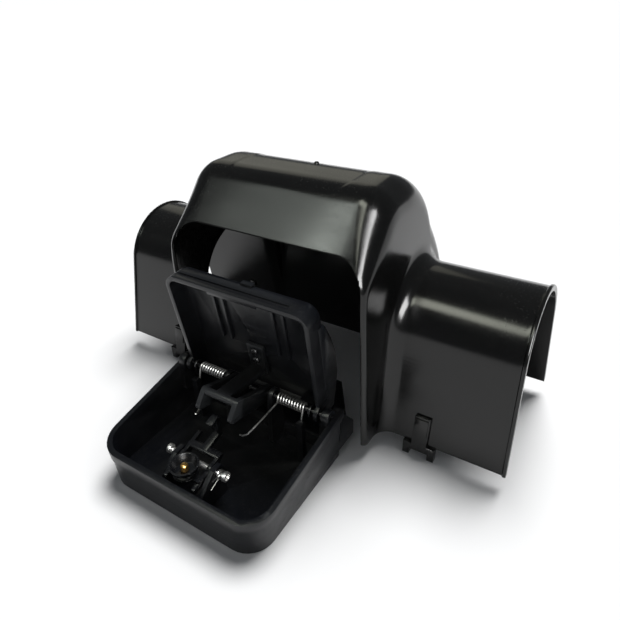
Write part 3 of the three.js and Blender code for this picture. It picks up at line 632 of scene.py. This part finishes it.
def clean_copy(node):
    """A new object with the node's surface, joined along its edges and without flat seams."""
    mesh = frame["nodes"][node].data.copy()
    form = bmesh.new()
    form.from_mesh(mesh)
    bmesh.ops.remove_doubles(form, verts=form.verts, dist=MERGE_WITHIN)
    bmesh.ops.dissolve_limit(form, angle_limit=FLAT_WITHIN, verts=form.verts, edges=form.edges)
    form.to_mesh(mesh)
    form.free()
    return add_object(node + "_form", mesh)


def finish_piece(obj, node, body, slot, width):
    """Rounds the edges a little, smooths the shading, paints the piece, puts it on its body and hides the
    node that it stands for.
    """
    round_edges(obj, width, 32)
    smooth(obj, 38)
    paint(obj, slot)
    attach(obj, body)
    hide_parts(node)


def make_trap_base():
    obj = clean_copy("trap_base")
    finish_piece(obj, "trap_base", "trap", "trap_plastic", 0.35)


JAW_FRONT = -71.2  # y of the jaw's front edge in its own frame


def make_jaw():
    """The jaw with a slit, a notch and a small block in its front edge, drawn there as x and height."""
    obj = clean_copy("jaw")
    slit = capsule(-46, 36, 4.6, 1.2)
    notch = [(-14, 11.4), (-1.5, 11.4), (-1.5, 17), (-14, 17)]
    block = [(-0.5, 10.8), (7.5, 10.8), (7.5, 13.8), (-0.5, 13.8)]
    for outline, near, far, operation in (
        (slit, -3.0, 0.9, "DIFFERENCE"),
        (notch, -3.0, 1.5, "DIFFERENCE"),
        (block, -0.7, 1.7, "UNION"),
    ):
        span = (JAW_FRONT + near, JAW_FRONT + far)
        apply_boolean(obj, prism(outline, span, lambda x, z, y: from_jaw(x, y, z)), operation)
    finish_piece(obj, "jaw", "jaw", "trap_plastic", 0.35)


WIRE_SIDES = 12
WIRE_END = 0.72  # share of the thickness left at a wire's two ends


def tube(name, points, radius):
    """A closed round tube along points."""
    form = bmesh.new()
    last = len(points) - 1
    turns = np.linspace(0, 2 * math.pi, WIRE_SIDES, endpoint=False)
    normal = (points[1] - points[0]).normalized().orthogonal().normalized()
    rings = []
    for k, point in enumerate(points):
        ahead = (points[min(k + 1, last)] - points[max(k - 1, 0)]).normalized()
        normal = (normal - ahead * normal.dot(ahead)).normalized()
        other = ahead.cross(normal)
        thick = radius * (WIRE_END if k in (0, last) else 1.0)
        around = [math.cos(a) * normal + math.sin(a) * other for a in turns]
        rings.append([form.verts.new(point + thick * out) for out in around])
    for low, high in zip(rings, rings[1:]):
        for k in range(WIRE_SIDES):
            following = (k + 1) % WIRE_SIDES
            form.faces.new((low[k], low[following], high[following], high[k]))
    form.faces.new(rings[0][::-1])
    form.faces.new(rings[-1])
    return closed_mesh(form, name)


def wire(name, points, radius, body, nodes=()):
    """A round spring wire that rides on body, for the nodes that it stands for."""
    obj = add_object(name, tube(name, points, radius))
    smooth(obj, 50)
    paint(obj, "spring_steel")
    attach(obj, body)
    if nodes:
        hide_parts(*nodes)


SPRING_X, SPRING_R, SPRING_WIRE, SPRING_TURNS = (20.4, 39.6), 2.95, 1.3, 9.7
STEPS_PER_TURN = 22
COIL_START = -math.pi / 2
# The inner leg's bends: distance in front of the hinge, height over the coil's underside, shift inwards.
INNER_LEG = [
    (33.5, -1.0, 3.6),
    (32.2, -2.6, 2.8),
    (29.5, -3.1, 1.6),
    (25, -1.6, 0.4),
    (17, -0.9, 0),
    (8, -0.4, 0),
]
OUTER_LEG = (-0.4, 1.5, 4.0, 6.8, 8.0)  # distances along the straight outer leg


def coil_points(side):
    """The inner leg and the close-wound coil, on one side of the middle."""
    x0, x1 = SPRING_X
    low = HINGE_Z - SPRING_R
    points = [in_row(side * (x0 - inwards), -ahead, low + up) for ahead, up, inwards in INNER_LEG]
    steps = int(SPRING_TURNS * STEPS_PER_TURN)
    for k in range(steps + 1):
        turn = COIL_START + k / steps * SPRING_TURNS * 2 * math.pi
        x = side * (x0 + (x1 - x0) * k / steps)
        points.append(in_row(x, SPRING_R * math.cos(turn), HINGE_Z + SPRING_R * math.sin(turn)))
    return points


def outer_leg_points(side):
    """The straight leg that leaves the coil's outer end at a tangent."""
    end = COIL_START + SPRING_TURNS * 2 * math.pi
    base = Vector((math.cos(end), math.sin(end))) * SPRING_R
    along = Vector((-math.sin(end), math.cos(end)))
    points = []
    for distance in OUTER_LEG:
        y, z = base + along * distance
        points.append(in_row(side * SPRING_X[1], y, HINGE_Z + z))
    return points


def make_jaw_spring(side, label):
    """A coil with its inner leg on the tray, and the outer leg that goes with the jaw."""
    radius = SPRING_WIRE / 2 * MM
    wire("jaw_spring_%s_coil" % label, coil_points(side), radius, "trap", nodes=["jaw_spring_%s" % label])
    wire("jaw_spring_%s_leg" % label, outer_leg_points(side), radius * 0.98, "jaw")


# CAD solids that only have their edges rounded: node, body, material slot, and width in millimetres.
SOFTENED = [
    ("latch_fork", "jaw", "fork_plastic", 0.3),
    ("trigger_lever", "trigger", "trigger_plastic", 0.22),
    ("bait_cup", "trigger", "trigger_plastic", 0.2),
    ("cup_rivet", "trigger", "brass", 0.12),
    ("hinge_pin", "trap", "black_steel", 0.2),
    ("trigger_pin", "trap", "pin_steel", 0.2),
    ("hinge_clip_left", "trap", "black_steel", 0.12),
    ("hinge_clip_right", "trap", "black_steel", 0.12),
    ("trigger_pin_cap_left", "trap", "pin_steel", 0.25),
    ("trigger_pin_cap_right", "trap", "pin_steel", 0.25),
    ("fork_screw_1", "jaw", "black_steel", 0.15),
    ("fork_screw_2", "jaw", "black_steel", 0.15),
    ("clip_foot_front_left", "cover", "cover_plastic", 0.3),
    ("clip_foot_front_right", "cover", "cover_plastic", 0.3),
    ("clip_foot_rear_left", "cover", "cover_plastic", 0.3),
    ("clip_foot_rear_right", "cover", "cover_plastic", 0.3),
]


def make_softened():
    make_trap_base()
    make_jaw()
    for side, label in ((-1, "left"), (1, "right")):
        make_jaw_spring(side, label)
    for node, body, slot, width in SOFTENED:
        finish_piece(clean_copy(node), node, body, slot, width)


make_softened()


# ------------------------------------------------------------------ floor and light
FLOOR_HALF = 60.0


def make_stage():
    mesh = bpy.data.meshes.new("floor")
    form = bmesh.new()
    bmesh.ops.create_grid(form, x_segments=1, y_segments=1, size=FLOOR_HALF)
    form.to_mesh(mesh)
    form.free()
    floor = add_object("floor", mesh)
    floor.location.z = -0.2 * MM
    n = Nodes("floor")
    n.shader.inputs["Base Color"].default_value = (0.92, 0.92, 0.92, 1.0)
    n.shader.inputs["Roughness"].default_value = 0.9
    n.shader.inputs["Specular IOR Level"].default_value = 0.1
    mesh.materials.append(n.material)


def area_light(name, place, aim, size, power, colour):
    """A softbox that shows only in the gloss of the surfaces."""
    data = bpy.data.lights.new(name, "AREA")
    data.shape = "RECTANGLE"
    data.size, data.size_y = size
    data.energy = power
    data.color = colour
    light = add_object(name, data)
    light.location = place
    light.rotation_euler = (Vector(aim) - Vector(place)).to_track_quat("-Z", "Y").to_euler()
    light.visible_diffuse = False
    light.visible_camera = False


def overhead_sun():
    """The light that falls on the surfaces and the floor, and isn't seen in the gloss."""
    sun = bpy.data.lights.new("overhead", "SUN")
    sun.energy = 3.6
    sun.angle = math.radians(34)
    overhead = add_object("overhead", sun)
    overhead.rotation_euler = Vector((0.0, -0.44, -0.90)).to_track_quat("-Z", "Y").to_euler()
    overhead.visible_glossy = False


# Softboxes: name, place, aim, size, power and colour.
SOFTBOXES = [
    ("ceiling", (-0.15, -0.58, 1.16), (0.11, 0.02, 0.10), (0.50, 0.28), 3.4, (0.97, 1.0, 0.86)),
    ("front_left", (-0.53, -0.56, 0.77), (0, 0, 0.14), (0.30, 0.30), 0.60, (0.93, 1.0, 0.92)),
    ("front_strip", (-0.425, -0.59, 0.81), (0.03, 0, 0.14), (0.06, 0.30), 0.6, (0.93, 1.0, 0.92)),
    ("right_strip", (0.60, -0.62, 0.70), (0.05, -0.02, 0.12), (0.50, 0.60), 20.0, (1.0, 1.0, 1.0)),
    ("back_left", (-0.75, 1.05, 0.80), (0, -0.02, 0.14), (1.1, 0.7), 1.2, (1.0, 0.97, 0.80)),
]


def make_lights():
    world = bpy.data.worlds.new("world")
    bpy.context.scene.world = world
    world.use_nodes = True
    background = world.node_tree.nodes["Background"]
    background.inputs["Color"].default_value = (0.90, 0.95, 1.0, 1.0)
    background.inputs["Strength"].default_value = 0.12
    overhead_sun()
    for softbox in SOFTBOXES:
        area_light(*softbox)


make_stage()
make_lights()
bpy.context.scene.view_settings.view_transform = "Standard"
